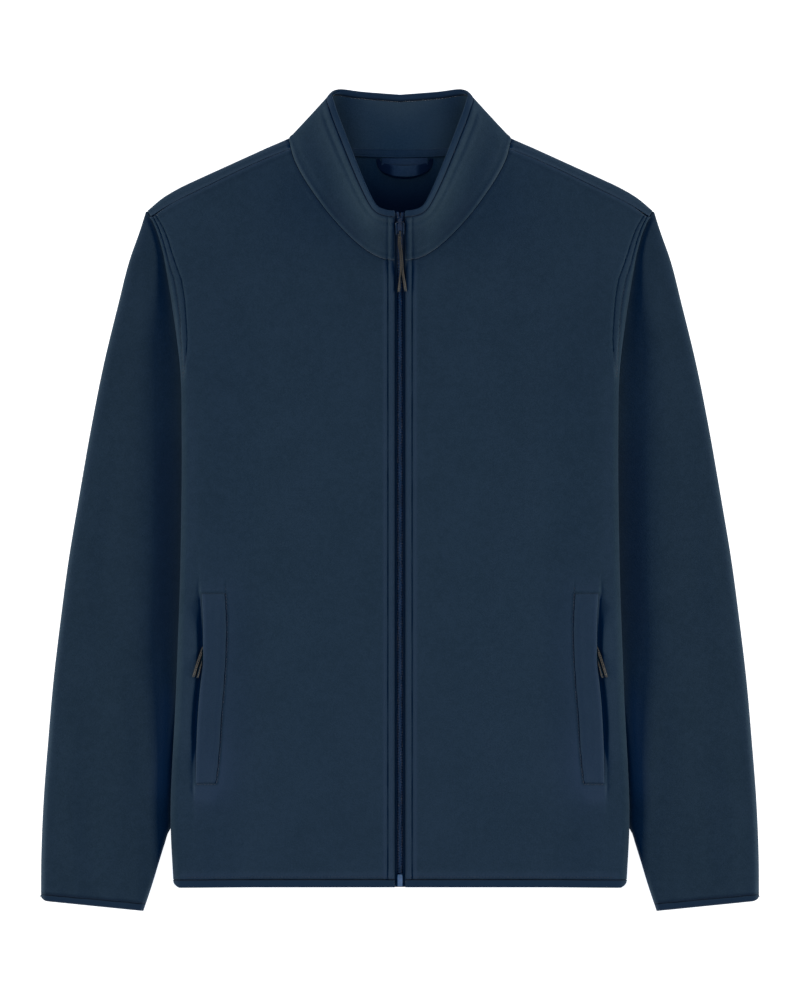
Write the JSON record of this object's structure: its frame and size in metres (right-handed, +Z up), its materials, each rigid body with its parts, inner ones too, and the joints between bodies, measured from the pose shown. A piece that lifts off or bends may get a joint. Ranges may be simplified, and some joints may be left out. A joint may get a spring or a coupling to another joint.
{
  "type": "fleece zip jacket",
  "caption": "Fleece jacket with a stand collar, full front zip, set-in sleeves, welt hand pockets and bound edges, laid flat on its back.",
  "frame": {"origin": "centre of the bounding box's bottom, on the surface that the jacket lies on", "axes": "+X to the wearer's left, +Y from the hem to the collar, +Z up from the surface, out of the front"},
  "size_m": [0.6896, 0.7902, 0.059],
  "materials": {
    "fleece": "matte brushed nap",
    "binding": "flat stretch knit",
    "zip_tape": "woven tape",
    "zip_coil": "semi-gloss",
    "zip_metal": "satin",
    "lace": "matt, slightly waxed"
  },
  "bodies": {
    "jacket": {"back_panel": "fleece", "front_left": "fleece", "front_right": "fleece", "sleeve_left": "fleece", "sleeve_right": "fleece", "collar": "fleece", "pocket_welt_left": "fleece", "pocket_welt_right": "fleece", "neck_tape": "fleece", "collar_binding": "binding", "hem_binding": "binding", "cuff_binding_left": "binding", "cuff_binding_right": "binding", "hanger_loop": "binding", "zip_tape_left": "zip_tape", "zip_tape_right": "zip_tape", "pocket_zip_left": "zip_tape", "pocket_zip_right": "zip_tape", "zip_chain": "zip_coil", "zip_stop": "zip_metal", "zip_slider": "zip_metal", "pocket_slider_left": "zip_metal", "pocket_slider_right": "zip_metal", "pocket_lace_left_a": "lace", "pocket_lace_left_b": "lace", "pocket_lace_right_a": "lace", "pocket_lace_right_b": "lace"},
    "zip_pull": {"zip_pull_tab": "zip_metal", "zip_lace_bight": "lace", "zip_lace_left": "lace", "zip_lace_right": "lace"}
  },
  "joints": [
    {"name": "zip_pull_hinge", "type": "hinge", "parent": "jacket", "child": "zip_pull", "pos_m": [0, 0.26619, 0.05476], "axis": [-1, 0, 0], "range_deg": [0, 150]}
  ]
}
